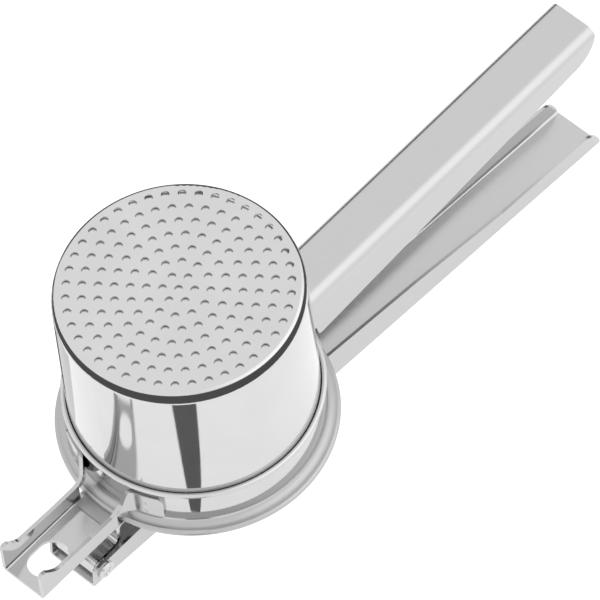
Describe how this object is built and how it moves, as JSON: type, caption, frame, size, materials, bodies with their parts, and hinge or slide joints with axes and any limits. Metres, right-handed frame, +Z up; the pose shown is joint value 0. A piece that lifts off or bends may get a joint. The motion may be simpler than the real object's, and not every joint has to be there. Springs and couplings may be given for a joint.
{
  "type": "potato ricer",
  "caption": "Hand press for boiled potatoes or dough: a perforated steel cup in a ring with a fixed channel handle, and a hinged lever that drives a plunger plate.",
  "frame": {"origin": "centre of the bounding box in X and Y, on the plane that the lever's back rests on", "axes": "+X along the pressing lever, from the hinge towards the free ends of the handles; +Z up, away from the lever's back, towards the perforated base; Y across the handles"},
  "size_m": [0.2908, 0.101, 0.1125],
  "materials": {
    "polished_steel": "mirror polished stainless steel",
    "satin_steel": "fine satin stainless steel",
    "plunger_steel": "plain rolled stainless steel",
    "rivet_steel": "turned and upset stainless steel"
  },
  "bodies": {
    "lever": {"pressing_lever": "satin_steel", "hinge_pin_rivet": "rivet_steel", "plunger_pin_rivet": "rivet_steel", "hinge_washers": "rivet_steel", "plunger_washers": "rivet_steel"},
    "cup_frame": {"perforated_cup": "polished_steel", "holder_ring": "polished_steel", "fixed_handle": "satin_steel", "pot_rest": "polished_steel", "hinge_tongue": "polished_steel"},
    "plunger": {"plunger_plate": "plunger_steel", "plunger_yoke": "plunger_steel"}
  },
  "joints": [
    {"name": "press_hinge", "type": "hinge", "parent": "lever", "child": "cup_frame", "pos_m": [-0.11497, 0, 0.00585], "axis": [0, -1, 0], "range_deg": [0, 31]},
    {"name": "plunger_pivot", "type": "hinge", "parent": "lever", "child": "plunger", "pos_m": [-0.05447, 0, 0.0095], "axis": [0, -1, 0], "range_deg": [0, 25.5]}
  ],
  "couplings": [
    {"joint": "plunger_pivot", "follows": "press_hinge", "ratio": 0.815}
  ]
}
